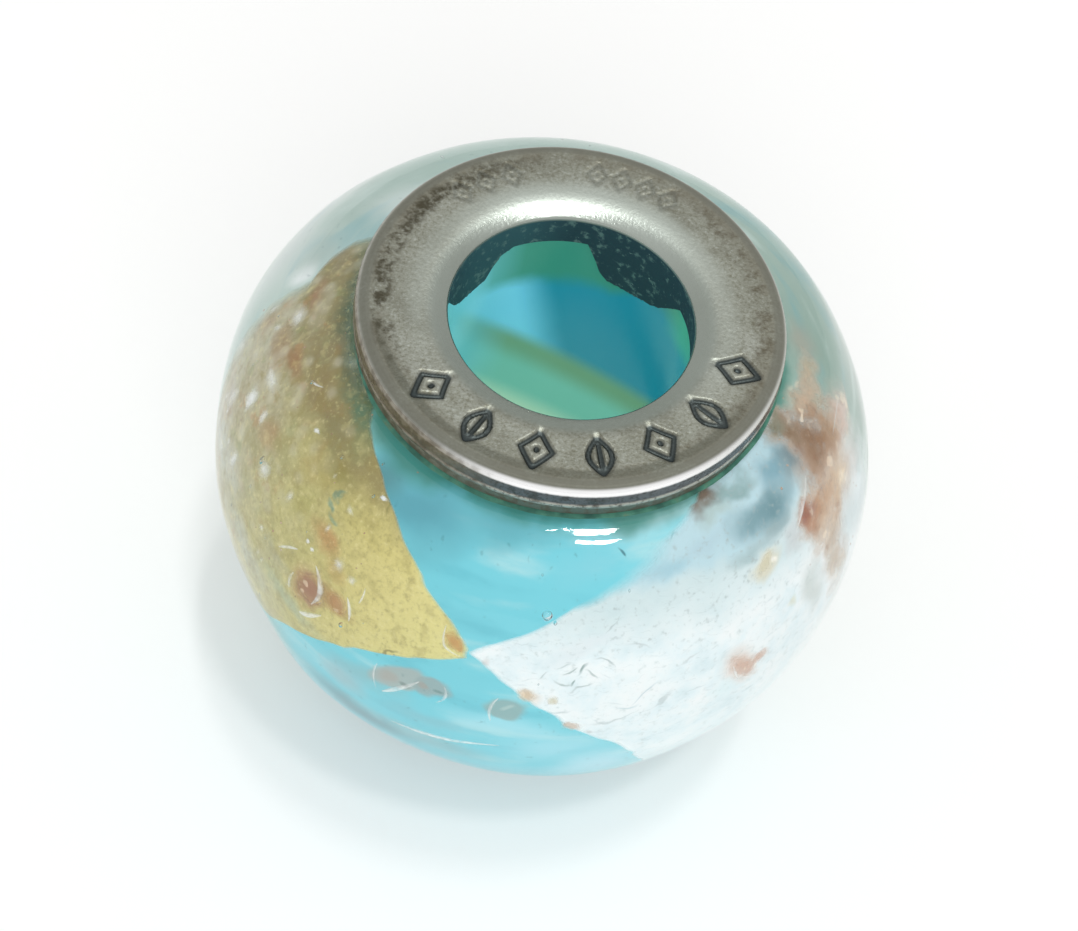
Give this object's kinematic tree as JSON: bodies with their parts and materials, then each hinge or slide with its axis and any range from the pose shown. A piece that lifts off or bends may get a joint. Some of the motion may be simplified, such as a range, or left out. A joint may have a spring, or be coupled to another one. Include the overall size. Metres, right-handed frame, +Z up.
{
  "type": "european charm bead",
  "caption": "Barrel-shaped glass bead with gold and silver leaf under clear glass and a flanged silver grommet in each end of its wide hole, threaded on a charm bracelet.",
  "frame": {"origin": "centre of the lower flange's flat face, on the hole's axis, where the bead stands", "axes": "+Z up along the hole's axis; -Y towards the front, where the tips of the two leaf patches meet; +X to the right seen from the front"},
  "size_m": [0.014, 0.014, 0.01],
  "materials": {
    "turquoise_glass": "fused turquoise and sea-green glass, milky",
    "gold_leaf": "crinkled gold leaf under clear glass",
    "silver_leaf": "crinkled silver leaf under clear glass",
    "copper_glass": "copper glass chips with fine metallic specks",
    "clear_glass": "clear, fire-polished, with a few small bubbles",
    "aged_silver": "satin sterling silver, worn bright on its edges and darkened with tarnish"
  },
  "bodies": {
    "root": {"glass_core": "turquoise_glass", "gold_foil": "gold_leaf", "silver_foil": "silver_leaf", "copper_frit": "copper_glass", "clear_casing": "clear_glass", "upper_grommet": "aged_silver", "lower_grommet": "aged_silver"}
  },
  "joints": []
}
